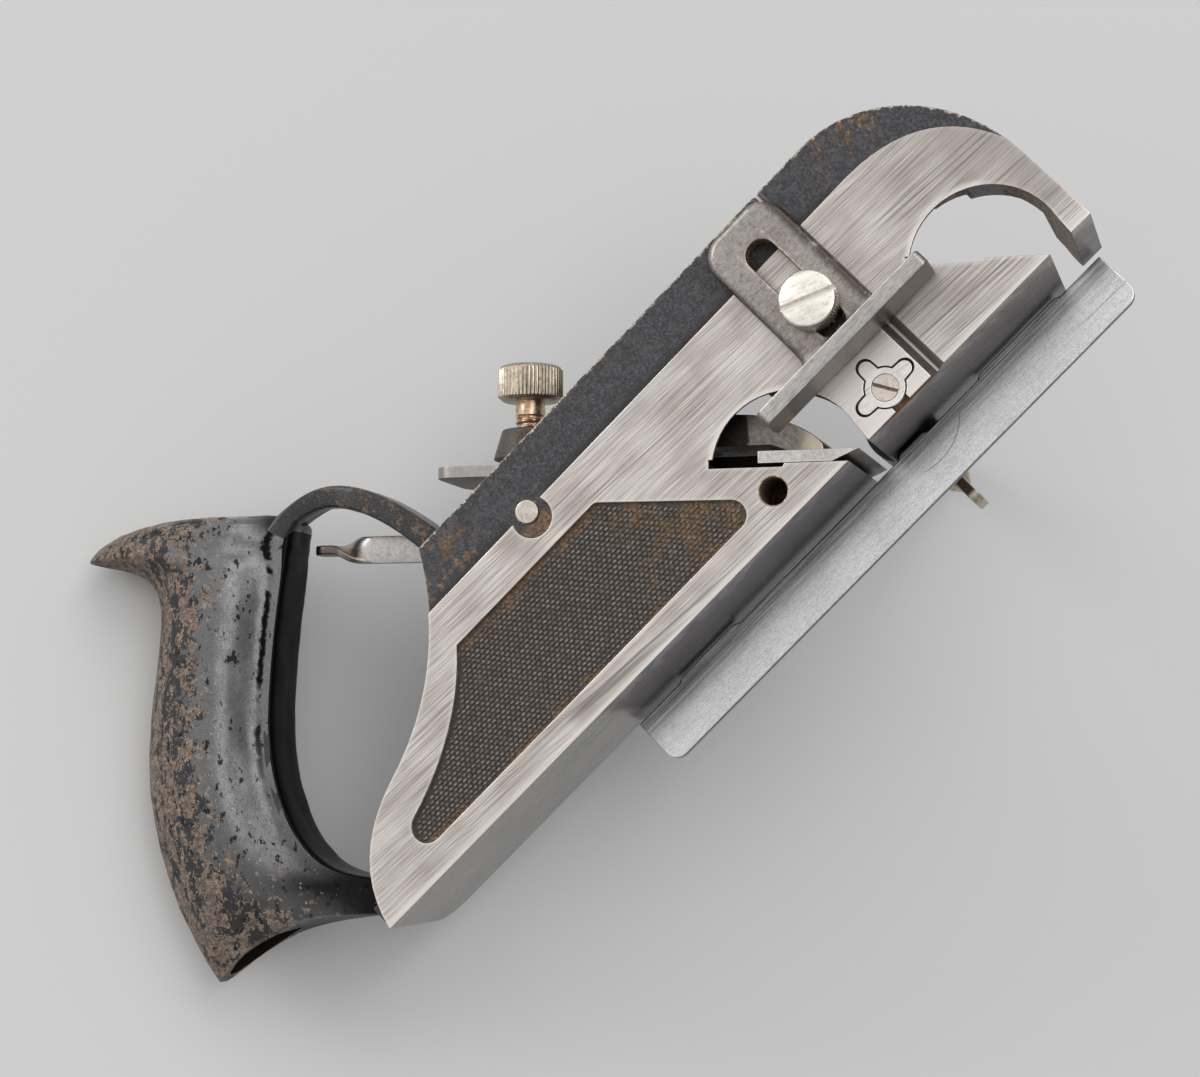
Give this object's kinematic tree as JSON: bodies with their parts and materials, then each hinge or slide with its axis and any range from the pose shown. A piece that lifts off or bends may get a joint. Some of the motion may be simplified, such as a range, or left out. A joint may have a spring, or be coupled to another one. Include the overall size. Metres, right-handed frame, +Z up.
{
  "type": "rebate plane",
  "caption": "Cast iron duplex rebate plane with a closed pistol grip, lever-fed cutter, bull-nose seat, slotted depth stop, turnable spur and a sliding side fence on an arm.",
  "frame": {"origin": "on the sole plane, half way along the sole and half way across it", "axes": "+X from heel to toe, +Y to the plane's left (fence side), +Z up from the sole"},
  "size_m": [0.2538, 0.1293, 0.1338],
  "materials": {
    "stock": "black japanned casting with ground cheek and sole",
    "cutter": "ground tool steel",
    "lever_cap": "worn black casting",
    "nickel": "worn nickel plate",
    "pressed_steel": "worn bright steel",
    "stop": "dull dark grey",
    "fence": "ground face, dark back",
    "thumbscrew": "brown worn steel"
  },
  "bodies": {
    "stock": {"stock": "stock", "lever_cap": "lever_cap", "lever_cap_stud": "nickel", "adjusting_lever_pin": "pressed_steel", "spur": "pressed_steel", "fence_arm": "pressed_steel"},
    "cutter": {"cutter": "cutter"},
    "adjusting_lever": {"adjusting_lever": "pressed_steel"},
    "clamp_thumbscrew": {"clamp_thumbscrew": "nickel"},
    "depth_stop": {"depth_stop": "stop"},
    "depth_stop_screw": {"depth_stop_screw": "nickel"},
    "spur_screw": {"spur_screw": "nickel"},
    "fence": {"fence": "fence"},
    "fence_thumbscrew": {"fence_thumbscrew": "thumbscrew"}
  },
  "joints": [
    {"name": "lever_swing", "type": "hinge", "parent": "stock", "child": "adjusting_lever", "pos_m": [-0.021, 0, 0.0426], "axis": [0, 1, 0], "range_deg": [-8, 7]},
    {"name": "cutter_feed", "type": "slide", "parent": "stock", "child": "cutter", "axis": [0.7145, 0, -0.6997], "range_m": [-0.0013, 0.00115]},
    {"name": "clamp_turn", "type": "hinge", "parent": "stock", "child": "clamp_thumbscrew", "pos_m": [-0.01859, 0, 0.05247], "axis": [0.6997, 0, 0.7145], "continuous": true},
    {"name": "stop_slide", "type": "slide", "parent": "stock", "child": "depth_stop", "axis": [0, 0, 1], "range_m": [-0.0143, 0.0012]},
    {"name": "stop_screw_turn", "type": "hinge", "parent": "stock", "child": "depth_stop_screw", "pos_m": [0.0529, -0.02, 0.0281], "axis": [0, -1, 0], "continuous": true},
    {"name": "spur_screw_turn", "type": "hinge", "parent": "stock", "child": "spur_screw", "pos_m": [0.0509, -0.019, 0.0053], "axis": [0, -1, 0], "continuous": true},
    {"name": "fence_slide", "type": "slide", "parent": "stock", "child": "fence", "axis": [0, 1, 0], "range_m": [-0.0065, 0.05]},
    {"name": "fence_screw_turn", "type": "hinge", "parent": "fence", "child": "fence_thumbscrew", "pos_m": [0.0475, 0.037, -0.005], "axis": [0, 0, -1], "continuous": true}
  ],
  "couplings": [
    {"joint": "cutter_feed", "follows": "lever_swing", "m_per_rad": 0.0091}
  ]
}
